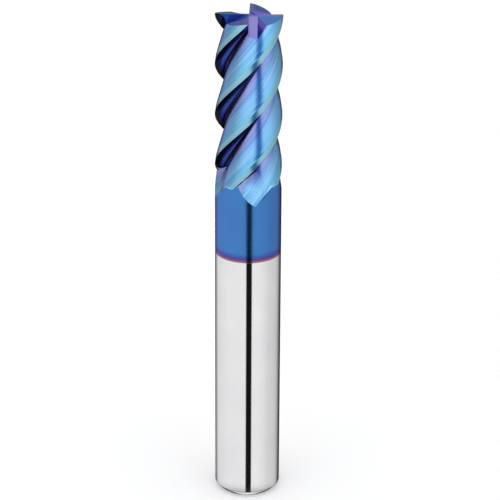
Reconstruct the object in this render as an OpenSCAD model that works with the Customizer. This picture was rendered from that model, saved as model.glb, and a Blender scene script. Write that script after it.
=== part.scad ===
// Four-flute square end mill with a plain shank and a coated cutting end.
// Origin: centre of the flat rear face of the shank. +Z points to the cutting end.
// Tooth 1 has its corner beside +X. All sizes are in millimetres.

/* [Body] */
// Cutting diameter, which is also the shank diameter
tool_diameter = 10; // [8:0.5:12]
// Length from the rear face to the tips of the end teeth
overall_length = 77.5; // [76:0.5:100]
// Length of the bare clamping shank
shank_length = 40; // [20:1:42]
// Chamfer on the rear edge of the shank
rear_chamfer = 0.8; // [0.2:0.1:1.5]

/* [Flutes] */
// Helix angle, measured at the cutting diameter
helix_angle = 45; // [38:0.5:48]
// Length over which the lands cut, from the tips down
cutting_length = 25.5; // [22:0.5:28]
// Radius of the flute floor as a share of the tool radius
floor_share = 0.66; // [0.63:0.01:0.7]
// Angle from a cutting edge forward to the crease in the flute floor
crease_angle = 18.5; // [17:0.5:22]
// Hook of the rake face at the cutting edge
rake_angle = 8; // [2:1:12]
// Radius of the grinding wheel that leaves the flute at its lower end
wheel_radius = 40; // [25:1:60]

/* [Lands] */
// Width of the primary land, as an angle around the tool
primary_width = 12; // [8:0.5:14]
// Clearance angle of the primary land
primary_clearance = 8.6; // [5:0.2:11]
// Width of the secondary land, as an angle around the tool
secondary_width = 8; // [6:0.5:10]
// Clearance angle of the secondary land
secondary_clearance = 15.2; // [12:0.2:18]

/* [End teeth] */
// Fall of the end edges towards the middle of the tool
dish_angle = 1.5; // [0.5:0.25:3]
// Clearance angle beside an end edge
end_primary_clearance = 7; // [5:0.5:9]
// Clearance angle further back
end_secondary_clearance = 13.5; // [11:0.5:16]
// Width of the strip beside an end edge, as a share of the tool radius
end_strip_share = 0.13; // [0.08:0.01:0.2]
// Slope of the gash in front of the two long end teeth
long_gash_slope = 30; // [26:1:36]
// Slope of the gash in front of the two short end teeth
short_gash_slope = 36.5; // [34:0.5:44]

/* [Hidden] */
$fn = 96;
tool_radius = tool_diameter / 2;
crease_radius = floor_share * tool_radius;
web_radius = 0.6 * tool_radius;
lead = PI * tool_diameter / tan(helix_angle);
turn_per_mm = 360 / lead;
tip_turn = -1.4;
skin = 0.01;

// heights along the tool
run_out_length = 0.3 * tool_diameter;
head_bottom = overall_length - cutting_length - run_out_length;
land_bottom = overall_length - cutting_length;
head_height = overall_length - head_bottom;

// radii where the primary and the secondary land end
primary_radius = tool_radius * (1 - tan(primary_clearance) * primary_width * PI / 180);
heel_radius = primary_radius - tool_radius * tan(secondary_clearance) * secondary_width * PI / 180;
heel_angle = -primary_width - secondary_width;
back_crease_angle = crease_angle - 90;

// how finely the profile and the helix are divided
land_steps = 2;
back_steps = 7;
rake_steps = 6;
web_steps = 6;
slice_count = 72;

// the rake face is an arc from the cutting edge to the crease
edge_point = [tool_radius, 0];
crease_point = crease_radius * [cos(crease_angle), sin(crease_angle)];
chord = crease_point - edge_point;
half_turn = atan2(chord[1], -chord[0]) + rake_angle;
arc_radius = norm(chord) / (2 * sin(half_turn));
arc_centre = (edge_point + crease_point) / 2
    + arc_radius * cos(half_turn) * [chord[1], -chord[0]] / norm(chord);
arc_start = atan2(edge_point[1] - arc_centre[1], edge_point[0] - arc_centre[0]);

// where the wheel stops following the helix: angle ahead of the edge and height
wheel_turn = 44;
wheel_height = land_bottom + 0.11 * tool_diameter;
wheel_side = wheel_turn - (overall_length - wheel_height) * turn_per_mm;

// one corner of the cross-section is [angle from the cutting edge, radius]
function mix(a, b, t) = a + (b - a) * t;
function rake_spot(a) = arc_centre + arc_radius * [cos(a), sin(a)];
function rake_corner(p) = [atan2(p[1], p[0]), norm(p)];

land_corners = [
    for (i = [0 : land_steps]) [mix(0, -primary_width, i / land_steps),
        mix(tool_radius, primary_radius, i / land_steps)],
    for (i = [1 : land_steps]) [mix(-primary_width, heel_angle, i / land_steps),
        mix(primary_radius, heel_radius, i / land_steps)]
];
back_corners = [
    for (i = [1 : back_steps]) [mix(heel_angle, back_crease_angle, i / back_steps),
        mix(heel_radius, crease_radius, i / back_steps)]
];
web_corners = [
    for (i = [0 : web_steps]) [mix(back_crease_angle, crease_angle, i / web_steps),
        web_radius / cos(45 / web_steps)]
];
rake_corners = [
    for (i = [rake_steps : -1 : 1]) rake_corner(rake_spot(arc_start - 2 * half_turn * i / rake_steps))
];
corners = concat(land_corners, back_corners, web_corners, rake_corners);
corner_count = len(corners);
outer_count = len(land_corners);
web_start = outer_count + back_steps;
web_end = web_start + web_steps;

// how far out the wheel leaves the metal, for a floor of radius r at this angle and height
function wheel_exit(angle, z, r) =
    let (side = angle - (overall_length - z) * turn_per_mm - wheel_side)
    let (along = -(z - wheel_height) * cos(helix_angle))
    let (lean = sin(side) * sin(helix_angle))
    let (reach = wheel_radius + crease_radius)
    let (low = r * cos((angle - wheel_turn) * pow(cos(helix_angle), 2)))
    let (disc = reach - low)
    let (a = lean * lean + pow(cos(side), 2))
    let (b = along * lean + cos(side) * reach)
    let (rest = b * b - a * (along * along + reach * reach - disc * disc))
    rest < 0 || cos(side) < 0 ? tool_radius : (b - sqrt(rest)) / a;

function below_wheel(angle, z, r) =
    let (side = angle - (overall_length - z) * turn_per_mm - wheel_side)
    -(z - wheel_height) * cos(helix_angle) - r * sin(side) * sin(helix_angle) > 0;

function flute_radius(angle, z, r) =
    below_wheel(angle, z, r) ? min(tool_radius, max(r, wheel_exit(angle, z, r))) : r;

// the lands lose their clearance below the cutting length
function land_radius(z, r) = z < land_bottom - skin ? tool_radius : r;

function corner_radius(i, z) =
    let (angle = corners[i][0])
    let (r = corners[i][1])
    i == outer_count - 1 ? (z < land_bottom - skin ? flute_radius(angle + 90, z, r) : r) :
    i < outer_count ? land_radius(z, r) :
    i < web_start ? flute_radius(angle + 90, z, r) :
    i > web_end ? flute_radius(angle, z, r) :
    r;

function slice_z(k) = head_bottom + head_height * k / slice_count;

// each four-sided patch is split along the line that neighbouring teeth also use
function on_web(i) = i >= web_start && i <= web_end;
function patch(a, b, c, d, i) = on_web(i) ? [[a, b, d], [b, c, d]] : [[a, b, c], [a, c, d]];

function spot(i, z) =
    let (angle = corners[i][0] - (overall_length - z) * turn_per_mm)
    let (r = corner_radius(i, z))
    [r * cos(angle), r * sin(angle), z];

// bare ground cylinder held by the collet
module shank() {
    color("lightgray")
    rotate_extrude()
    polygon([
        [0, 0],
        [tool_radius - rear_chamfer, 0],
        [tool_radius, rear_chamfer],
        [tool_radius, shank_length],
        [0, shank_length]
    ]);
}

// plain coated cylinder between the shank and the flutes
module neck() {
    color("royalblue")
    translate([0, 0, shank_length])
    cylinder(r = tool_radius, h = head_bottom - shank_length);
}

// the plane beside one end edge, with its steeper part further back
module end_clearance() {
    strip = end_strip_share * tool_radius;
    drop = strip * tan(end_primary_clearance);
    far = 1.4 * tool_radius;
    translate([tool_radius, 0, overall_length])
    rotate([0, -dish_angle, 0])
    translate([-tool_radius - skin, 0, 0])
    rotate([90, 0, 90])
    linear_extrude(height = far)
    polygon([
        [skin, 0],
        [-strip, -drop],
        [-far, -drop - (far - strip) * tan(end_secondary_clearance)],
        [-far, tool_radius],
        [skin, tool_radius]
    ]);
}

// the slot in front of one end edge that makes room for its chips
module gash(slope, start_share, width_share, flare) {
    floor_width = width_share * tool_radius;
    deep = 0.7 * tool_radius;
    translate([start_share * tool_radius, 0, overall_length])
    rotate([0, slope, 0])
    rotate([90, 0, 90])
    linear_extrude(height = 1.3 * tool_radius)
    polygon([
        [0, 0],
        [floor_width, 0],
        [floor_width + deep * tan(flare), deep],
        [0, deep]
    ]);
}

// everything ground off the end, for all four teeth
module end_grinding() {
    for (turn = [0, 90, 180, 270])
        rotate([0, 0, turn + tip_turn])
        end_clearance();
    for (turn = [0, 180])
        rotate([0, 0, turn + tip_turn])
        gash(long_gash_slope, -0.035, 0.351, 33);
    for (turn = [90, 270])
        rotate([0, 0, turn + tip_turn])
        gash(short_gash_slope, 0.08, 0.262, 52);
}

// the web that carries the four teeth
module core() {
    color("steelblue")
    difference() {
        translate([0, 0, head_bottom])
        cylinder(r = web_radius, h = head_height);
        end_grinding();
    }
}

// one helical tooth from the run-out up to the tips
module tooth(turn) {
    n = corner_count;
    color("cornflowerblue")
    difference() {
        rotate([0, 0, turn + tip_turn])
        polyhedron(
            points = [for (k = [0 : slice_count]) for (i = [0 : n - 1]) spot(i, slice_z(k))],
            faces = concat(
                [[for (i = [0 : n - 1]) i]],
                [for (k = [0 : slice_count - 1]) for (i = [0 : n - 1])
                    let (low = k * n)
                    let (high = low + n)
                    let (next = (i + 1) % n)
                    each patch(low + i, high + i, high + next, low + next, i)],
                [[for (i = [n - 1 : -1 : 0]) slice_count * n + i]]
            )
        );
        end_grinding();
    }
}

module tooth_1() {
    tooth(0);
}

module tooth_2() {
    tooth(90);
}

module tooth_3() {
    tooth(180);
}

module tooth_4() {
    tooth(270);
}

shank();
neck();
core();
tooth_1();
tooth_2();
tooth_3();
tooth_4();
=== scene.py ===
import math

import bmesh
import bpy
from mathutils import Matrix, Vector


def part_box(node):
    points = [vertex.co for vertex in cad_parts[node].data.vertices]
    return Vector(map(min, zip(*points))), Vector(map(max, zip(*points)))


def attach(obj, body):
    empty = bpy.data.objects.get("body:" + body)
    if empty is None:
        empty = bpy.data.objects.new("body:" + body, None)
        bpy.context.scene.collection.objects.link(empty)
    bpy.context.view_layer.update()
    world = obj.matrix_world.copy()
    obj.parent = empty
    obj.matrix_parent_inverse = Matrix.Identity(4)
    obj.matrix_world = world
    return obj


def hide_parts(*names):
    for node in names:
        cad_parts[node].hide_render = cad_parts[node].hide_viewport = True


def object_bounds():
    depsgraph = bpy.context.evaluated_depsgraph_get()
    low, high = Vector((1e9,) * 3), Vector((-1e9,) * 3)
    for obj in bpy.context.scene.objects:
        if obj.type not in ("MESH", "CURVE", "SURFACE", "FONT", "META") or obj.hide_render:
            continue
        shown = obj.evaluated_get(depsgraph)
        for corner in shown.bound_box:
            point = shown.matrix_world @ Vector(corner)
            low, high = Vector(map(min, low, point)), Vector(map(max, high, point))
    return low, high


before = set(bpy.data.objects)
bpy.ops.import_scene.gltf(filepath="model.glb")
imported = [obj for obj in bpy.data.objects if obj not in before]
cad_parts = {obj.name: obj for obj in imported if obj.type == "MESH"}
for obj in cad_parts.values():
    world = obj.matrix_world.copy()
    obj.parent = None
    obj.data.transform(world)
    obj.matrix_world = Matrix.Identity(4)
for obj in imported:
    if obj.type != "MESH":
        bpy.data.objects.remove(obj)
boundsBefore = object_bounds()
mm = 0.001


def mix(a, b, t):
    return a + (b - a) * t


def linear(code):
    # sRGB hex to linear light
    parts = [int(code[i:i + 2], 16) / 255 for i in (1, 3, 5)]
    return [c / 12.92 if c <= 0.04045 else ((c + 0.055) / 1.055) ** 2.4 for c in parts] + [1.0]


def addNode(tree, kind, settings=None, inputs=None):
    # inputs are socket values, or (node, output) pairs to link
    node = tree.nodes.new(kind)
    for name, value in (settings or {}).items():
        setattr(node, name, value)
    for name, value in (inputs or {}).items():
        if isinstance(value, tuple) and isinstance(value[0], bpy.types.Node):
            tree.links.new(value[0].outputs[value[1]], node.inputs[name])
        else:
            node.inputs[name].default_value = value
    return node


def fillRamp(node, stops):
    # stops are (position, hex or grey level)
    ramp = node.color_ramp
    while len(ramp.elements) > 1:
        ramp.elements.remove(ramp.elements[-1])
    for i, (place, tone) in enumerate(stops):
        spot = ramp.elements[0] if i == 0 else ramp.elements.new(place)
        spot.position = place
        spot.color = linear(tone) if isinstance(tone, str) else (tone, tone, tone, 1)
    return node


lowest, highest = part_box("shank")
toolRadius = (highest[0] - lowest[0]) / 2 / mm
shankTop = highest[2] / mm
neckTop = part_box("neck")[1][2] / mm
tipHeight = boundsBefore[1][2] / mm
print("frame loaded, radius", round(toolRadius, 3), "mm, tips at", round(tipHeight, 3), "mm")

# ---- fluted head ----
head = {
    "helixAngle": 45.0,          # degrees at the cutting diameter
    "tipTurn": -1.4,             # degrees from +X to the first tooth
    "floorShare": 0.66,          # crease radius over tool radius
    "creaseAngle": 18.5,         # degrees ahead of the cutting edge
    "rakeHook": 8.0,             # degrees that the rake face leans forward at its edge
    "primaryWidth": 12.0,
    "primaryClearance": 8.6,
    "secondaryWidth": 8.0,
    "secondaryClearance": 15.2,
    "cuttingLength": 25.5,       # mm of land below the tips
    "webShare": 0.6,             # radius of the middle web over tool radius
    "endMargin": 0.3,            # mm of stock above the tips, ground off at the end
}
runOut = {
    "wheelRadius": 40.0,         # mm, the wheel that leaves the flute
    "wheelTurn": 44.0,           # degrees ahead of the edge, middle of its rim
    "wheelRise": 1.1,            # mm above the end of the lands, where it stops following the helix
    "exitBow": 0.00034,          # mm per square degree, bend of the line where it leaves the metal
    "exitMiddle": 45.0,          # degrees ahead of the edge, lowest reach of that line
    "cornerAngle": 3.3,          # foot of the wall left by the wheel's side
    "lipHeight": 0.25,           # mm, the ramp where each land stops
    "lipScallop": 0.12,          # mm, how far the ramp bows downwards
    "switchDelay": 1.2,          # mm by which the cutting edge outlasts the crease
    "switchShare": 0.04,         # share of the run-out in which the rake face gives way
}
# mesh rows down the tooth and steps around its profile
grid = {"helixRows": 150, "runOutRows": 20, "footRows": 3, "backSteps": 18, "webSteps": 6, "rakeSteps": 10}
landAngles = (0, -0.6, -4, -8)
stepShare = 0.6                  # share of the secondary land before its lower step begins
searchRounds = 48

helix = math.radians(head["helixAngle"])
turnPerMm = math.tan(helix) / toolRadius
creaseRadius = head["floorShare"] * toolRadius
webRadius = head["webShare"] * toolRadius
landBottom = tipHeight - head["cuttingLength"]
barTop = tipHeight + head["endMargin"]
heelAngle = -head["primaryWidth"] - head["secondaryWidth"]
stepAngle = -head["primaryWidth"] - stepShare * head["secondaryWidth"]


def landRadius(angle):
    first = min(-angle, head["primaryWidth"])
    second = -angle - first
    return toolRadius * (1 - math.tan(math.radians(head["primaryClearance"])) * math.radians(first)
                         - math.tan(math.radians(head["secondaryClearance"])) * math.radians(second))


def turnAt(z):
    return math.degrees((z - tipHeight) * turnPerMm)


def rakePoints(count):
    # hooked arc from the crease out to the cutting edge, as (angle, radius)
    edge = Vector((toolRadius, 0))
    a = math.radians(head["creaseAngle"])
    chord = creaseRadius * Vector((math.cos(a), math.sin(a))) - edge
    half = math.atan2(chord.y, -chord.x) + math.radians(head["rakeHook"])
    radius = chord.length / (2 * math.sin(half))
    side = Vector((chord.y, -chord.x)).normalized()
    centre = edge + chord / 2 + radius * math.cos(half) * side
    start = math.atan2(edge.y - centre.y, edge.x - centre.x)
    spots = []
    for i in range(count, -1, -1):
        b = start - 2 * half * i / count
        p = centre + radius * Vector((math.cos(b), math.sin(b)))
        spots.append((math.degrees(math.atan2(p.y, p.x)), p.length))
    return spots


wheelHeight = landBottom + runOut["wheelRise"]
wheelSide = runOut["wheelTurn"] + turnAt(wheelHeight)


def wheelPlace(angle, z):
    side = math.radians(angle + turnAt(z) - wheelSide)
    return side, -(z - wheelHeight) * math.cos(helix)


def pastWheel(angle, z, r):
    side, along = wheelPlace(angle, z)
    return along - r * math.sin(side) * math.sin(helix) > 0


def wheelLift(angle, z, r):
    # radius at which the metal stops under the wheel's rim
    side, along = wheelPlace(angle, z)
    lean = math.sin(side) * math.sin(helix)
    reach = runOut["wheelRadius"] + creaseRadius
    if angle < head["creaseAngle"]:
        angle = head["creaseAngle"]
    disc = reach - r * math.cos(math.radians((angle - runOut["wheelTurn"]) * math.cos(helix) ** 2))
    a = lean * lean + math.cos(side) ** 2
    b = along * lean + math.cos(side) * reach
    rest = b * b - a * (along * along + reach * reach - disc * disc)
    if rest < 0 or math.cos(side) < 0:
        return toolRadius
    return (b - math.sqrt(rest)) / a


def findHeight(test, high, low):
    for _ in range(searchRounds):
        middle = (high + low) / 2
        if test(middle):
            low = middle
        else:
            high = middle
    return (high + low) / 2


def stations(angle, r):
    start = findHeight(lambda z: pastWheel(angle, z, r), tipHeight, neckTop)
    end = findHeight(lambda z: wheelLift(angle, z, r) >= toolRadius, start, neckTop - 1)
    # the exit line is a shallow bow across the flute
    reach = head["cuttingLength"] / math.cos(helix)
    reach -= runOut["exitBow"] * (angle - runOut["exitMiddle"]) ** 2
    exitHeight = tipHeight - (reach + toolRadius * math.radians(angle) * math.sin(helix)) * math.cos(helix)
    shift = exitHeight - end
    return start + shift, end + shift, shift


facets = {"primary": 0, "secondary": 1, "back": 2, "web": 3, "rake": 4, "lip": 5, "step": 6,
          "floor": 7, "wall": 8, "foot": 9, "cap": 10, "strip": 11, "relief": 12, "gash": 13, "flare": 14,
          "side": 15}
zoneCount = 16
fluteWeights = {"back": 1.0, "floor": 0.35, "wall": 0.2}
weldGap = 0.0005                 # mm


def buildColumns():
    # each column knows its three height knots and its profile above and inside the run-out
    columns = []
    edgeKnots = stations(runOut["cornerAngle"], creaseRadius)
    lands = [*landAngles, -head["primaryWidth"], stepAngle]
    for angle in lands:
        share = (-angle % head["primaryWidth"]) / head["primaryWidth"]
        bow = runOut["lipScallop"] * math.sin(math.pi * share)
        knots = (landBottom - bow, landBottom - bow - runOut["lipHeight"], 0)
        if angle == 0:
            knots = (edgeKnots[0] - runOut["switchDelay"], edgeKnots[1], 0)
        columns.append({"kind": "land", "angle": angle, "r": landRadius(angle), "knots": knots})
    backEnd = head["creaseAngle"] - 90
    for i in range(grid["backSteps"] + 1):
        t = i / grid["backSteps"]
        angle = mix(heelAngle, backEnd, t)
        r = mix(landRadius(heelAngle), creaseRadius, t)
        columns.append({"kind": "flute", "angle": angle, "r": r, "ahead": angle + 90,
                        "knots": stations(angle + 90, r)})
    for i in range(grid["webSteps"] + 1):
        angle = mix(backEnd, head["creaseAngle"], i / grid["webSteps"])
        columns.append({"kind": "web", "angle": angle, "r": webRadius,
                        "knots": (landBottom + 1, landBottom - 1, 0)})
    rake = rakePoints(grid["rakeSteps"])
    half = grid["rakeSteps"] // 2
    for j, (angle, r) in enumerate(rake[:-1]):
        floorAngle = mix(head["creaseAngle"], runOut["cornerAngle"], min(1, j / half))
        wallShare = max(0, (j - half) / (len(rake) - 1 - half))
        start, end, shift = stations(floorAngle, creaseRadius)
        start -= runOut["switchDelay"] * min(1, j / half)
        columns.append({"kind": "rake", "angle": angle, "r": r, "ahead": floorAngle,
                        "wall": wallShare, "knots": (start, end, shift)})
    return columns


def columnPoint(column, zone, share):
    # (angle, radius, height) on one column; zone 0 is the helix, 1 the run-out, 2 the foot
    start, end, shift = column["knots"]
    tops, lows = (barTop, start, end), (start, end, neckTop)
    z = mix(tops[zone], lows[zone], share)
    angle, r, kind = column["angle"], column["r"], column["kind"]
    if kind == "web" or (zone == 0 and share < 1):
        return angle, r, z
    if kind == "land":
        ease = 0 if zone == 0 else 1 if zone == 2 else 0.5 - 0.5 * math.cos(math.pi * share)
        return angle, mix(r, toolRadius, ease), z
    if zone == 0:
        return angle, r, z
    if kind == "flute":
        lift = toolRadius if zone == 2 else min(toolRadius, max(r, wheelLift(column["ahead"], z - shift, r)))
        return angle, lift, z
    lift = wheelLift(column["ahead"], z - shift, creaseRadius)
    floor = toolRadius if zone == 2 else min(toolRadius, max(creaseRadius, lift))
    newAngle = mix(column["ahead"], 0, column["wall"])
    newRadius = mix(floor, toolRadius, column["wall"])
    ease = 1 if zone == 2 else min(1, share / runOut["switchShare"])
    return mix(angle, newAngle, ease), mix(r, newRadius, ease), z


def facetOf(columns, i, zone):
    kind, nextKind = columns[i]["kind"], columns[(i + 1) % len(columns)]["kind"]
    if kind == "web" or (kind == "flute" and nextKind == "web"):
        return facets["web"]
    if zone == 2:
        return facets["foot"]
    if kind == "land":
        if zone == 1:
            return facets["step"] if nextKind == "flute" else facets["lip"]
        return facets["primary"] if columns[i]["angle"] > -head["primaryWidth"] else facets["secondary"]
    if kind == "flute":
        return facets["back"]
    if zone == 0:
        return facets["rake"]
    nextWall = columns[(i + 1) % len(columns)].get("wall", 1)
    return facets["floor"] if nextWall == 0 else facets["wall"]


def buildBar():
    # the tooth before it is twisted: a closed bar with its run-out, UV in mm across and along
    columns = buildColumns()
    rows = [(0, i / grid["helixRows"]) for i in range(grid["helixRows"])]
    early = [0, runOut["switchShare"]]
    steps = grid["runOutRows"]
    rows += [(1, t) for t in early] + [(1, mix(early[1], 1, i / steps)) for i in range(1, steps)]
    rows += [(2, i / grid["footRows"]) for i in range(grid["footRows"] + 1)]
    bm = bmesh.new()
    facet = bm.faces.layers.int.new("facet")
    uv = bm.loops.layers.uv.new("grind")
    across = [0.0]
    for a, b in zip(columns, columns[1:] + columns[:1]):
        pa, pb = [c["r"] * Vector((math.cos(math.radians(c["angle"])), math.sin(math.radians(c["angle"]))))
                  for c in (a, b)]
        across.append(across[-1] + (pa - pb).length)
    points = [[columnPoint(c, zone, share) for c in columns] for zone, share in rows]
    verts = []
    for line in points:
        verts.append([bm.verts.new((r * math.cos(math.radians(a)) * mm, r * math.sin(math.radians(a)) * mm,
                                    z * mm)) for a, r, z in line])
    count = len(columns)
    for k in range(len(rows) - 1):
        for i in range(count):
            j = (i + 1) % count
            face = bm.faces.new((verts[k][i], verts[k][j], verts[k + 1][j], verts[k + 1][i]))
            face[facet] = facetOf(columns, i, rows[k][0])
            spots = ((i, k, i), (j, k, i + 1), (j, k + 1, i + 1), (i, k + 1, i))
            for loop, (col, row, place) in zip(face.loops, spots):
                loop[uv].uv = (across[place], points[row][col][2] / math.cos(helix))
    for line in (verts[0], verts[-1]):
        cap = bm.faces.new(line)
        cap[facet] = facets["cap"]
    bmesh.ops.recalc_face_normals(bm, faces=bm.faces)
    mesh = bpy.data.meshes.new("bar")
    bm.to_mesh(mesh)
    bm.free()
    return mesh


def buildWeb():
    # the web shares its facets with the inner faces of the four teeth
    bm = bmesh.new()
    facet = bm.faces.layers.int.new("facet")
    uv = bm.loops.layers.uv.new("grind")
    knots = [barTop, landBottom + 1, landBottom - 1, neckTop]
    counts = [grid["helixRows"], grid["runOutRows"] + 1, grid["footRows"]]
    heights = []
    for top, low, n, zone in zip(knots, knots[1:], counts, range(3)):
        shares = [i / n for i in range(n)]
        if zone == 1:
            shares = [0] + [mix(runOut["switchShare"], 1, i / (n - 1)) for i in range(n - 1)]
        heights += [mix(top, low, t) for t in shares]
    heights.append(neckTop)
    around = 4 * grid["webSteps"]
    lines = []
    for z in heights:
        angles = [math.radians(head["creaseAngle"] + 360 * i / around) for i in range(around)]
        lines.append([bm.verts.new((webRadius * math.cos(a) * mm, webRadius * math.sin(a) * mm, z * mm))
                      for a in angles])
    for a, b in zip(lines, lines[1:]):
        for i in range(around):
            j = (i + 1) % around
            bm.faces.new((a[i], a[j], b[j], b[i]))[facet] = facets["web"]
    for line in (lines[0], lines[-1]):
        bm.faces.new(line)[facet] = facets["cap"]
    for face in bm.faces:
        for loop in face.loops:
            loop[uv].uv = (loop.vert.co.x / mm, loop.vert.co.y / mm)
    bmesh.ops.recalc_face_normals(bm, faces=bm.faces)
    mesh = bpy.data.meshes.new("web")
    bm.to_mesh(mesh)
    bm.free()
    return mesh


endTeeth = {
    "dish": 1.5,                 # degrees that the end edges fall towards the middle
    "primaryClearance": 7.0,
    "secondaryClearance": 13.5,
    "stripShare": 0.13,          # width of the strip beside an edge over tool radius
    # slope, then start and width over tool radius, then flare
    "longGash": (30.0, -0.035, 0.351, 33.0),
    "shortGash": (36.5, 0.08, 0.262, 52.0),
    "gashDepth": 0.7,            # height of the gash prism over tool radius
    "gashReach": 1.3,            # length of the gash prism over tool radius
    "clearanceReach": 1.4,       # size of the clearance prism over tool radius
    "overlap": 0.01,             # mm by which neighbouring cuts overlap
}


def addPrism(bm, facet, uv, outline, names, length, place):
    # outline is (y, z); the prism runs along +X and is then put in place
    ends = [[bm.verts.new(place @ Vector((x, y, z))) for y, z in outline] for x in (0, length)]
    for line in ends:
        bm.faces.new(line)[facet] = facets["side"]
    count = len(outline)
    for i in range(count):
        j = (i + 1) % count
        face = bm.faces.new((ends[0][i], ends[0][j], ends[1][j], ends[1][i]))
        face[facet] = facets[names[i]]
        span = math.dist(outline[i], outline[j])
        for loop, spot in zip(face.loops, ((0, 0), (span, 0), (span, length), (0, length))):
            loop[uv].uv = spot


def buildWheels():
    # everything ground off the end, for all four teeth, in the turned frame of the tips
    bm = bmesh.new()
    facet = bm.faces.layers.int.new("facet")
    uv = bm.loops.layers.uv.new("grind")
    strip = endTeeth["stripShare"] * toolRadius
    drop = strip * math.tan(math.radians(endTeeth["primaryClearance"]))
    far = endTeeth["clearanceReach"] * toolRadius
    low = -drop - (far - strip) * math.tan(math.radians(endTeeth["secondaryClearance"]))
    lap = endTeeth["overlap"]
    for k in range(4):
        turn = Matrix.Rotation(math.radians(90 * k + head["tipTurn"]), 4, "Z")
        corner = Matrix.Translation((toolRadius, 0, tipHeight))
        tilt = Matrix.Rotation(math.radians(-endTeeth["dish"]), 4, "Y")
        back = Matrix.Translation((-toolRadius - lap, 0, 0))
        # the clearance cut begins just ahead of the edge
        addPrism(bm, facet, uv, [(lap, 0), (-strip, -drop), (-far, low), (-far, toolRadius), (lap, toolRadius)],
                 ["strip", "relief", "side", "side", "side"], far, turn @ corner @ tilt @ back)
        slope, start, width, flare = endTeeth["longGash"] if k % 2 == 0 else endTeeth["shortGash"]
        deep = endTeeth["gashDepth"] * toolRadius
        wide = width * toolRadius
        place = turn @ Matrix.Translation((start * toolRadius, 0, tipHeight)) @ Matrix.Rotation(
            math.radians(slope), 4, "Y")
        top = wide + deep * math.tan(math.radians(flare))
        addPrism(bm, facet, uv, [(0, 0), (wide, 0), (top, deep), (0, deep)],
                 ["gash", "flare", "side", "side"], endTeeth["gashReach"] * toolRadius, place)
    bmesh.ops.recalc_face_normals(bm, faces=bm.faces)
    bmesh.ops.scale(bm, vec=(mm, mm, mm), verts=bm.verts)
    mesh = bpy.data.meshes.new("wheels")
    bm.to_mesh(mesh)
    bm.free()
    return mesh


def headTree():
    # twists a straight bar about Z, turns it to its place and grinds the end teeth
    tree = bpy.data.node_groups.new("helicalTooth", "GeometryNodeTree")
    kinds = [("Geometry", "NodeSocketGeometry"), ("Turn Per Metre", "NodeSocketFloat"),
             ("Tip Height", "NodeSocketFloat"), ("Tooth Turn", "NodeSocketFloat"),
             ("Wheels", "NodeSocketObject"), ("Material", "NodeSocketMaterial")]
    for name, kind in kinds:
        tree.interface.new_socket(name, in_out="INPUT", socket_type=kind)
    tree.interface.new_socket("Geometry", in_out="OUTPUT", socket_type="NodeSocketGeometry")
    source = addNode(tree, "NodeGroupInput")
    place = addNode(tree, "GeometryNodeInputPosition")
    parts = addNode(tree, "ShaderNodeSeparateXYZ", inputs={0: (place, 0)})
    fall = addNode(tree, "ShaderNodeMath", {"operation": "SUBTRACT"},
                   {0: (parts, 2), 1: (source, "Tip Height")})
    twist = addNode(tree, "ShaderNodeMath", {"operation": "MULTIPLY_ADD"},
                    {0: (fall, 0), 1: (source, "Turn Per Metre"), 2: (source, "Tooth Turn")})
    spun = addNode(tree, "ShaderNodeVectorRotate", {"rotation_type": "Z_AXIS"},
                   {"Vector": (place, 0), "Angle": (twist, 0)})
    moved = addNode(tree, "GeometryNodeSetPosition", inputs={"Geometry": (source, 0), "Position": (spun, 0)})
    wheels = addNode(tree, "GeometryNodeObjectInfo", inputs={"Object": (source, "Wheels")})
    ground = addNode(tree, "GeometryNodeMeshBoolean", {"operation": "DIFFERENCE", "solver": "EXACT"},
                     {"Mesh 1": (moved, 0), "Mesh 2": (wheels, "Geometry"), "Self Intersection": True})
    smooth = addNode(tree, "GeometryNodeSetShadeSmooth", inputs={"Geometry": (ground, 0)})
    real = addNode(tree, "GeometryNodeRealizeInstances", inputs={"Geometry": (smooth, 0)})
    painted = addNode(tree, "GeometryNodeSetMaterial",
                      inputs={"Geometry": (real, 0), "Material": (source, "Material")})
    addNode(tree, "NodeGroupOutput", inputs={"Geometry": (painted, 0)})
    return tree


def groundMesh(tree, mesh, turn, wheels, material, name):
    # runs the tree on one bar and returns the plain mesh
    raw = bpy.data.objects.new(name + "Raw", mesh)
    bpy.context.scene.collection.objects.link(raw)
    modifier = raw.modifiers.new("helicalTooth", "NODES")
    modifier.node_group = tree
    values = {"Turn Per Metre": turnPerMm / mm, "Tip Height": tipHeight * mm,
              "Tooth Turn": math.radians(turn), "Wheels": wheels, "Material": material}
    for item in tree.interface.items_tree:
        if item.in_out == "INPUT" and item.name in values:
            modifier[item.identifier] = values[item.name]
    bpy.context.view_layer.update()
    graph = bpy.context.evaluated_depsgraph_get()
    result = bpy.data.meshes.new_from_object(raw.evaluated_get(graph), preserve_all_data_layers=True,
                                             depsgraph=graph)
    bpy.data.objects.remove(raw)
    result.name = name
    return result


def crispEdges(mesh, limit):
    # edges between different facets, or sharper than the limit, stay crisp
    bm = bmesh.new()
    bm.from_mesh(mesh)
    bmesh.ops.remove_doubles(bm, verts=bm.verts, dist=weldGap * mm)
    bmesh.ops.dissolve_degenerate(bm, edges=bm.edges, dist=weldGap * mm)
    facet = bm.faces.layers.int["facet"]
    for edge in bm.edges:
        ids = {face[facet] for face in edge.link_faces}
        edge.smooth = len(ids) == 1 and edge.calc_face_angle(0) < limit
    for face in bm.faces:
        face.smooth = True
    bm.to_mesh(mesh)
    bm.free()


def roundNormals(mesh):
    # the plain cylinder below the flutes takes exact radial normals, so no seam shows
    ids = mesh.attributes["facet"].data
    normals = [tuple(c.vector) for c in mesh.corner_normals]
    for face in mesh.polygons:
        if ids[face.index].value != facets["foot"]:
            continue
        for loop in face.loop_indices:
            spot = mesh.vertices[mesh.loops[loop].vertex_index].co
            normals[loop] = tuple(Vector((spot.x, spot.y, 0)).normalized())
    mesh.normals_split_custom_set(normals)


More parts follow.
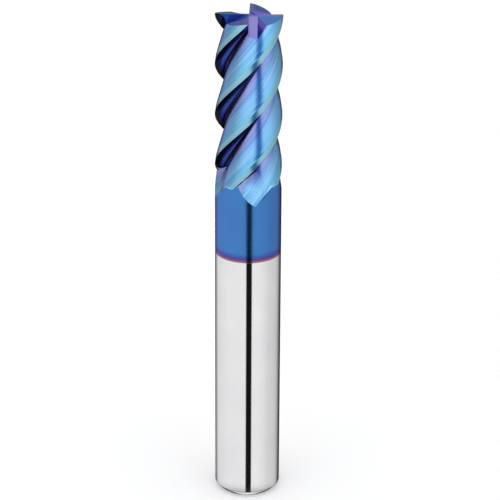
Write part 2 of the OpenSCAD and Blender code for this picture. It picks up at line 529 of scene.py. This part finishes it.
def finishAttributes(mesh):
    # the coating reads which facet it lies on, and how much of the flute colour it takes
    ids = [item.value for item in mesh.attributes["facet"].data]
    byId = {facets[key]: value for key, value in fluteWeights.items()}
    layer = mesh.attributes.new("flute", "FLOAT", "FACE")
    layer.data.foreach_set("value", [byId.get(i, 0.0) for i in ids])
    layer = mesh.attributes.new("zone", "FLOAT", "FACE")
    layer.data.foreach_set("value", [(i + 0.5) / zoneCount for i in ids])


def paintFacets(mesh, finishes):
    # the plain cylinder below the flutes is finished like the neck, the rake faces take a darker copy of the
    # coating, painted shade
    mesh.materials.clear()
    for finish in finishes:
        mesh.materials.append(finish)
    ids = [item.value for item in mesh.attributes["facet"].data]
    places = {facets["foot"]: 1, facets["rake"]: 2}
    mesh.polygons.foreach_set("material_index", [places.get(i, 0) for i in ids])


def addPiece(name, mesh, slotName, material, *nodes):
    piece = bpy.data.objects.new(name, mesh)
    bpy.context.scene.collection.objects.link(piece)
    if not mesh.materials:
        mesh.materials.append(material)
    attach(piece, "root")
    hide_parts(*nodes)
    return piece


# ---- materials ----
# rings are drawn coarser than the real grind, which is finer than the view resolves
bare = {"colour": "#E8E8E9", "dull": "#E1E1E3", "edge": "#F4F4F6", "roughness": 0.055, "lineDepth": 0.04,
        "ringStretch": (400, 400, 26000), "cloudScale": 160.0, "lineHeight": 0.00002}
plainBlue = "#3B78BE"
coat = {
    # flute colour by depth: painted shade, dark at the crease, then painted reflection from lilac to pale blue
    # towards the land
    "flute": [(0.0, "#1E2258"), (0.04, "#6C68A8"), (0.14, "#7880BC"), (0.3, "#5480BC"), (0.55, "#6CA2CC"),
              (0.75, "#5898C8"), (0.92, "#4C8CBA")],
    # rake colour by depth: painted shade, near black towards the cutting edge; the dark plum rakeTint edge tint
    # is painted shade too
    "rake": [(0.0, "#14163E"), (0.05, "#4A4890"), (0.25, "#384E98"), (0.5, "#22306E"), (0.72, "#101636"),
             (0.95, "#060814")],
    # one coating on every facet; the facet colours are painted reflection and shade: pale lands and floors,
    # dark relief
    "facets": {"primary": "#7AACBC", "secondary": "#5EA2C4", "lip": "#6CB0DA", "step": "#86C0E4",
               "floor": "#7C78B4", "wall": "#7672AC", "strip": "#6878A0", "relief": "#2C62A0",
               "gash": "#7C76B8", "flare": "#5A4CA8", "side": plainBlue},
    # pale blue mixed into the flutes in streaks: painted highlight
    "pale": "#A4D0EA", "paleShare": 0.75,
    "tint": "#C9BEF0", "rakeTint": "#5A2A4A", "lineDepth": 0.3, "lineHeight": 0.00003, "streak": 0.7,
    # streaks per mm across and along the helix, coarser than the real grinding marks; the pale streaks and the
    # drift of the colour ramps are painted highlight and reflection
    "paleStretch": (3.2, 0.05, 1), "driftStretch": (2.2, 0.05, 1), "lineStretch": (7, 0.12, 1),
    "fringeTop": 1.6, "fringeBlend": 1.2,   # mm above the shank
}
# roughness of the base, then weight, index and roughness of the clear top layer
gloss = {"neck": (0.17, 0.35, 1.5, 0.12), "flutes": (0.22, 0.4, 1.55, 0.1), "rake": (0.22, 0.12, 1.5, 0.12)}


def ringNoise(tree, place, scale, size, detail):
    stretched = addNode(tree, "ShaderNodeMapping", inputs={"Vector": (place, "Object"), "Scale": scale})
    return addNode(tree, "ShaderNodeTexNoise",
                   inputs={"Vector": (stretched, 0), "Scale": size, "Detail": detail})


def bareCarbide():
    # bare cemented carbide after a fine cylindrical grind: a bright mirror with faint rings
    material = bpy.data.materials.new("ground bare carbide")
    material.use_nodes = True
    tree = material.node_tree
    shader = tree.nodes["Principled BSDF"]
    shader.inputs["Metallic"].default_value = 1.0
    shader.inputs["Specular Tint"].default_value = linear(bare["edge"])
    place = addNode(tree, "ShaderNodeTexCoord")
    fine = ringNoise(tree, place, bare["ringStretch"], 1.6, 3.0)
    cloud = addNode(tree, "ShaderNodeTexNoise",
                    inputs={"Vector": (place, "Object"), "Scale": bare["cloudScale"], "Detail": 2.0})
    tone = fillRamp(addNode(tree, "ShaderNodeValToRGB", inputs={0: (cloud, 0)}),
                    [(0.3, bare["dull"]), (0.7, bare["colour"])])
    tree.links.new(tone.outputs[0], shader.inputs["Base Color"])
    rough = addNode(tree, "ShaderNodeMapRange", inputs={"Value": (fine, 0), "To Min": bare["roughness"] * 0.7,
                                                         "To Max": bare["roughness"] * 1.4})
    tree.links.new(rough.outputs[0], shader.inputs["Roughness"])
    bump = addNode(tree, "ShaderNodeBump", inputs={"Height": (fine, 0), "Strength": bare["lineDepth"],
                                                    "Distance": bare["lineHeight"]})
    tree.links.new(bump.outputs[0], shader.inputs["Normal"])
    return material


def fringeColour(tree, place, height, colour):
    # interference bands where the coating thins out towards the bare shank
    wave = addNode(tree, "ShaderNodeTexNoise", inputs={"Vector": (place, "Object"), "Scale": 500.0})
    edge = addNode(tree, "ShaderNodeMapRange", inputs={"Value": height, "From Min": shankTop * mm,
                                                        "From Max": (shankTop + coat["fringeTop"]) * mm})
    bent = addNode(tree, "ShaderNodeMath", {"operation": "MULTIPLY_ADD"}, {0: (wave, 0), 1: 0.06, 2: -0.03})
    level = addNode(tree, "ShaderNodeMath", {"operation": "ADD"}, {0: (edge, 0), 1: (bent, 0)})
    bands = fillRamp(addNode(tree, "ShaderNodeValToRGB", inputs={0: (level, 0)}),
                     [(0.0, "#A89CA0"), (0.1, "#8C7178"), (0.2, "#A0485C"), (0.3, "#5A3F92"), (0.52, "#3A53A8"),
                      (1.0, plainBlue)])
    gate = addNode(tree, "ShaderNodeMapRange",
                   inputs={"Value": height, "From Min": (shankTop + coat["fringeBlend"]) * mm,
                           "From Max": (shankTop + coat["fringeTop"]) * mm})
    return addNode(tree, "ShaderNodeMix", {"data_type": "RGBA"}, {0: (gate, 0), 6: (bands, 0), 7: colour})


def fluteColour(tree, depth, uv):
    # painted reflection and shade: violet in the creases, pale blue towards the lands, with painted highlight
    # streaks along the helix
    zone = addNode(tree, "ShaderNodeAttribute", {"attribute_name": "zone"})
    # facet colours: painted reflection and shade
    stops = [(facets[name] / zoneCount, code) for name, code in coat["facets"].items()]
    stops += [(facets[name] / zoneCount, plainBlue) for name in ("back", "foot")]
    ramp = addNode(tree, "ShaderNodeValToRGB", inputs={0: (zone, "Fac")})
    fillRamp(ramp, sorted(stops))
    ramp.color_ramp.interpolation = "CONSTANT"
    # pale streaks along the helix, stronger towards the lands: painted highlight
    stretched = addNode(tree, "ShaderNodeMapping", inputs={"Vector": uv, "Scale": coat["paleStretch"]})
    noise = addNode(tree, "ShaderNodeTexNoise", inputs={"Vector": (stretched, 0), "Scale": 1.0, "Detail": 4.0,
                                                         "Roughness": 0.65})
    streaks = addNode(tree, "ShaderNodeMapRange",
                      inputs={"Value": (noise, 0), "From Min": 0.46, "From Max": 0.72,
                              "To Max": coat["paleShare"]})
    shade = fillRamp(addNode(tree, "ShaderNodeValToRGB", inputs={0: depth}), coat["flute"])
    weight = addNode(tree, "ShaderNodeAttribute", {"attribute_name": "flute"})
    rise = addNode(tree, "ShaderNodeMath", {"operation": "MULTIPLY", "use_clamp": True},
                   {0: (streaks, 0), 1: depth})
    paintedHighlight = addNode(tree, "ShaderNodeMix", {"data_type": "RGBA"},
                   {0: (rise, 0), 6: (shade, 0), 7: linear(coat["pale"])})
    return addNode(tree, "ShaderNodeMix", {"data_type": "RGBA"},
                   {0: (weight, "Fac"), 6: (ramp, 0), 7: (paintedHighlight, 2)})


def coatedCarbide(name, part):
    # thin blue vapour-deposited coating: deep blue metal that pales to lilac at grazing view
    material = bpy.data.materials.new(name)
    material.use_nodes = True
    tree = material.node_tree
    shader = tree.nodes["Principled BSDF"]
    shader.inputs["Metallic"].default_value = 1.0
    shader.inputs["Specular Tint"].default_value = linear(coat["rakeTint" if part == "rake" else "tint"])
    roughness, weight, index, topRoughness = gloss[part]
    shader.inputs["Coat Weight"].default_value = weight
    shader.inputs["Coat IOR"].default_value = index
    shader.inputs["Coat Roughness"].default_value = topRoughness
    place = addNode(tree, "ShaderNodeTexCoord")
    parts = addNode(tree, "ShaderNodeSeparateXYZ", inputs={0: (place, "Object")})
    flat = addNode(tree, "ShaderNodeCombineXYZ", inputs={0: (parts, 0), 1: (parts, 1)})
    radius = addNode(tree, "ShaderNodeVectorMath", {"operation": "LENGTH"}, {0: (flat, 0)})
    depth = addNode(tree, "ShaderNodeMapRange", inputs={"Value": (radius, "Value"),
                                                         "From Min": creaseRadius * mm,
                                                         "From Max": toolRadius * mm})
    uv = addNode(tree, "ShaderNodeUVMap", {"uv_map": "grind"})
    streak = addNode(tree, "ShaderNodeMapping", inputs={"Vector": (uv, 0), "Scale": coat["driftStretch"]})
    broad = addNode(tree, "ShaderNodeTexNoise", inputs={"Vector": (streak, 0), "Scale": 1.0, "Detail": 3.0})
    drift = addNode(tree, "ShaderNodeMath", {"operation": "MULTIPLY_ADD"},
                    {0: (broad, 0), 1: coat["streak"], 2: -0.5 * coat["streak"]})
    level = addNode(tree, "ShaderNodeMath", {"operation": "ADD"}, {0: (depth, 0), 1: (drift, 0)})
    # flutes and rake faces carry painted reflection and shade in their base colour; the neck keeps the
    # coating's own blue
    if part == "flutes":
        colour = (fluteColour(tree, (level, 0), (uv, 0)), 2)
    # the rake faces take the dark ramp: painted shade
    elif part == "rake":
        colour = (fillRamp(addNode(tree, "ShaderNodeValToRGB", inputs={0: (level, 0)}), coat["rake"]), 0)
    else:
        cloud = addNode(tree, "ShaderNodeTexNoise", inputs={"Vector": (place, "Object"), "Scale": 180.0})
        tone = fillRamp(addNode(tree, "ShaderNodeValToRGB", inputs={0: (cloud, 0)}),
                        [(0.35, plainBlue), (0.7, "#3E7CC2")])
        colour = (fringeColour(tree, place, (parts, 2), (tone, 0)), 2)
    tree.links.new(colour[0].outputs[colour[1]], shader.inputs["Base Color"])
    lines = addNode(tree, "ShaderNodeMapping", inputs={"Vector": (uv, 0), "Scale": coat["lineStretch"]})
    fine = addNode(tree, "ShaderNodeTexNoise", inputs={"Vector": (lines, 0), "Scale": 1.0, "Detail": 4.0,
                                                        "Roughness": 0.6})
    rough = addNode(tree, "ShaderNodeMapRange", inputs={"Value": (fine, 0), "To Min": roughness * 0.7,
                                                         "To Max": roughness * 1.5})
    tree.links.new(rough.outputs[0], shader.inputs["Roughness"])
    bump = addNode(tree, "ShaderNodeBump", inputs={"Height": (fine, 0), "Strength": coat["lineDepth"],
                                                    "Distance": coat["lineHeight"]})
    tree.links.new(bump.outputs[0], shader.inputs["Normal"])
    tree.links.new(bump.outputs[0], shader.inputs["Coat Normal"])
    return material


bareFinish = bareCarbide()
neckFinish = coatedCarbide("blue coated carbide with fringe", "neck")
# the head material holds the coating's blue with painted reflection and shade
headCoatPaintedLight = coatedCarbide("blue coated carbide, ground flutes", "flutes")
# the same coating darkened for the rake faces: painted shade
rakePaintedShade = coatedCarbide("coated carbide, rake faces, painted shade", "rake")

# ---- shank and neck ----
shankSize = {"segments": 192, "chamfer": 0.8, "edgeRound": 0.06, "rows": 24, "faceRings": (1.2, 2.6),
             "wallStart": 0.3}   # mm above the chamfer
crispTurn = math.radians(20)
neckSize = {"segments": 192, "rows": 20}


def spinProfile(profile, segments, name):
    # profile is (radius, height) from the lower axis point to the upper one
    bm = bmesh.new()
    uv = bm.loops.layers.uv.new("grind")
    rings = []
    for r, z in profile:
        if r == 0:
            rings.append([bm.verts.new((0, 0, z * mm))])
        else:
            rings.append([bm.verts.new((r * mm * math.cos(math.tau * i / segments),
                                        r * mm * math.sin(math.tau * i / segments), z * mm))
                          for i in range(segments)])
    travel = 0.0
    for a, b, pa, pb in zip(rings, rings[1:], profile, profile[1:]):
        span = math.dist(pa, pb)
        for i in range(segments):
            j = (i + 1) % segments
            if len(a) == 1:
                face = bm.faces.new((a[0], b[j], b[i]))
            elif len(b) == 1:
                face = bm.faces.new((a[i], a[j], b[0]))
            else:
                face = bm.faces.new((a[i], a[j], b[j], b[i]))
            face.smooth = True
            for loop in face.loops:
                turn = (i if loop.vert in (a[i % len(a)], b[i % len(b)]) else i + 1) / segments
                height = travel if loop.vert in a else travel + span
                loop[uv].uv = (height, turn * math.tau * toolRadius)
        travel += span
    bmesh.ops.recalc_face_normals(bm, faces=bm.faces)
    for edge in bm.edges:
        edge.smooth = edge.calc_face_angle(0) < crispTurn
    mesh = bpy.data.meshes.new(name)
    bm.to_mesh(mesh)
    bm.free()
    return mesh


def roundedCorner(before, corner, after, radius, steps):
    # replaces a profile corner by a small arc
    a = (Vector(before) - Vector(corner)).normalized()
    b = (Vector(after) - Vector(corner)).normalized()
    start, end = Vector(corner) + a * radius, Vector(corner) + b * radius
    spots = []
    for i in range(steps + 1):
        t = i / steps
        spots.append(tuple((1 - t) ** 2 * start + 2 * t * (1 - t) * Vector(corner) + t * t * end))
    return spots


chamferFoot = (toolRadius - shankSize["chamfer"], 0)
chamferTop = (toolRadius, shankSize["chamfer"])
roundSize = shankSize["edgeRound"]
wallStart = shankSize["chamfer"] + shankSize["wallStart"]
profile = [(0, 0)] + [(r, 0) for r in shankSize["faceRings"]]
profile += roundedCorner((0, 0), chamferFoot, chamferTop, roundSize * 2, 4)
profile += roundedCorner(chamferFoot, chamferTop, (toolRadius, shankTop), roundSize * 2, 4)
for i in range(1, shankSize["rows"] + 1):
    profile.append((toolRadius, mix(wallStart, shankTop, i / shankSize["rows"])))
profile.append((0, shankTop))
groundShank = addPiece("groundShank", spinProfile(profile, shankSize["segments"], "groundShank"),
                       "bare_carbide", bareFinish, "shank")
profile = [(0, shankTop)]
for i in range(neckSize["rows"] + 1):
    profile.append((toolRadius, mix(shankTop, neckTop, i / neckSize["rows"])))
profile.append((0, neckTop))
coatedNeck = addPiece("coatedNeck", spinProfile(profile, neckSize["segments"], "coatedNeck"),
                      "coated_carbide", neckFinish, "neck")
print("shank and neck built")

# ---- web and teeth ----
wheelsObject = bpy.data.objects.new("wheels", buildWheels())
bpy.context.scene.collection.objects.link(wheelsObject)
tree = headTree()
bar = buildBar()
creaseLimit = math.radians(28)
webMesh = groundMesh(tree, buildWeb(), head["tipTurn"], wheelsObject, headCoatPaintedLight, "webCore")
crispEdges(webMesh, creaseLimit)
finishAttributes(webMesh)
addPiece("webCore", webMesh, "coated_carbide", headCoatPaintedLight, "core")
for k in range(4):
    name = "tooth" + str(k + 1)
    toothMesh = groundMesh(tree, bar, 90 * k + head["tipTurn"], wheelsObject, headCoatPaintedLight, name)
    crispEdges(toothMesh, creaseLimit)
    roundNormals(toothMesh)
    finishAttributes(toothMesh)
    paintFacets(toothMesh, (headCoatPaintedLight, neckFinish, rakePaintedShade))
    addPiece(name, toothMesh, "coated_carbide", headCoatPaintedLight, "tooth_" + str(k + 1))
    print(name, "has", len(toothMesh.polygons), "faces")
bpy.data.objects.remove(wheelsObject)

# ---- stage ----
stageValues = {"floorSize": 6.0, "floorColour": "#F4F4F4", "topLight": 1.25, "upperLight": 1.65,
               "gapTone": "#1668A8", "sideLight": 1.0, "underLight": 0.95, "hollowLight": 0.06}


def buildFloor():
    bm = bmesh.new()
    bmesh.ops.create_grid(bm, x_segments=12, y_segments=12, size=stageValues["floorSize"] / 2)
    mesh = bpy.data.meshes.new("floor")
    bm.to_mesh(mesh)
    bm.free()
    floor = bpy.data.objects.new("floor", mesh)
    bpy.context.scene.collection.objects.link(floor)
    # matt pale surface: no highlight, so the object stands out
    material = bpy.data.materials.new("matt pale floor")
    material.use_nodes = True
    shader = material.node_tree.nodes["Principled BSDF"]
    shader.inputs["Base Color"].default_value = linear(stageValues["floorColour"])
    shader.inputs["Roughness"].default_value = 0.9
    mesh.materials.append(material)
    # polished metal sees the light walls instead of the floor
    floor.visible_glossy = False
    floor.visible_shadow = False


buildFloor()


def buildWorld():
    # light walls all round with a narrow dark gap at the front, under an even ceiling
    world = bpy.data.worlds.new("studio")
    bpy.context.scene.world = world
    world.use_nodes = True
    tree = world.node_tree
    background = tree.nodes["Background"]
    place = addNode(tree, "ShaderNodeTexCoord")
    parts = addNode(tree, "ShaderNodeSeparateXYZ", inputs={0: (place, "Generated")})
    back = addNode(tree, "ShaderNodeMath", {"operation": "MULTIPLY"}, {0: (parts, 1), 1: -1.0})
    around = addNode(tree, "ShaderNodeMath", {"operation": "ARCTAN2"}, {0: (parts, 0), 1: (back, 0)})
    turn = addNode(tree, "ShaderNodeMapRange", inputs={"Value": (around, 0), "From Min": -math.pi,
                                                        "From Max": math.pi})
    # 0.5 is straight at the front, 0 and 1 are behind; a step of 0.1 is 36 degrees
    walls = fillRamp(addNode(tree, "ShaderNodeValToRGB", inputs={0: (turn, 0)}),
                     [(0.0, 0.05), (0.05, 0.06), (0.067, 0.17), (0.103, 0.46), (0.131, 0.80), (0.153, 0.88),
                      (0.30, 0.99), (0.480, 1.0), (0.486, 0.008), (0.536, 0.008), (0.542, 1.0), (0.60, 1.01),
                      (0.667, 0.92), (0.72, 0.80), (0.80, 0.74), (0.839, 0.64), (0.861, 0.50), (0.886, 0.24),
                      (0.917, 0.06), (1.0, 0.05)])
    # higher up the gap turns a deep blue instead of black
    gap = stageValues["gapTone"]
    upper = fillRamp(addNode(tree, "ShaderNodeValToRGB", inputs={0: (turn, 0)}),
                     [(0.0, 0.30), (0.12, 0.32), (0.25, 0.50), (0.36, 0.95), (0.47, 1.0), (0.484, gap),
                      (0.538, gap), (0.552, 1.0), (0.64, 0.92), (0.76, 0.5), (0.88, 0.32), (1.0, 0.30)])
    low = addNode(tree, "ShaderNodeVectorMath", {"operation": "SCALE"},
                  {0: (walls, 0), "Scale": stageValues["sideLight"]})
    high = addNode(tree, "ShaderNodeVectorMath", {"operation": "SCALE"},
                   {0: (upper, 0), "Scale": stageValues["upperLight"]})
    layers = [(-0.22, 0.08, (high, 0)), (0.3, 0.75, stageValues["topLight"]),
              (-0.5, -0.64, stageValues["hollowLight"]), (-0.78, -0.87, stageValues["underLight"])]
    light = (low, 0)
    for start, end, level in layers:
        share = addNode(tree, "ShaderNodeMapRange", {"interpolation_type": "SMOOTHSTEP"},
                        {"Value": (parts, 2), "From Min": start, "From Max": end})
        level = level if isinstance(level, tuple) else (level, level, level, 1)
        light = (addNode(tree, "ShaderNodeMix", {"data_type": "RGBA"}, {0: (share, 0), 6: light, 7: level}), 2)
    path = addNode(tree, "ShaderNodeLightPath")
    shown = addNode(tree, "ShaderNodeMix", {"data_type": "RGBA"},
                    {0: (path, "Is Camera Ray"), 6: light, 7: (1, 1, 1, 1)})
    tree.links.new(shown.outputs[2], background.inputs["Color"])


buildWorld()

# ---- camera ----
# side, distance and rise are tool diameters from the tips; the angles are degrees
lens = {"side": 0.0298, "distance": 34.237, "rise": 11.391, "pitch": 23.86, "roll": 0.254, "focal": 178.04}
diameter = 2 * toolRadius * mm
cameraData = bpy.data.cameras.new("camera")
cameraData.sensor_width = 36.0
cameraData.lens = lens["focal"]
cameraData.clip_start = 0.01
camera = bpy.data.objects.new("camera", cameraData)
bpy.context.scene.collection.objects.link(camera)
camera.location = (lens["side"] * diameter, -lens["distance"] * diameter,
                   tipHeight * mm + lens["rise"] * diameter)
aim = Matrix.Rotation(math.radians(90 - lens["pitch"]), 4, "X") @ Matrix.Rotation(
    math.radians(lens["roll"]), 4, "Z")
camera.rotation_euler = aim.to_euler()
bpy.context.scene.camera = camera
bpy.context.scene.view_settings.view_transform = "Standard"
print("stage and camera set")
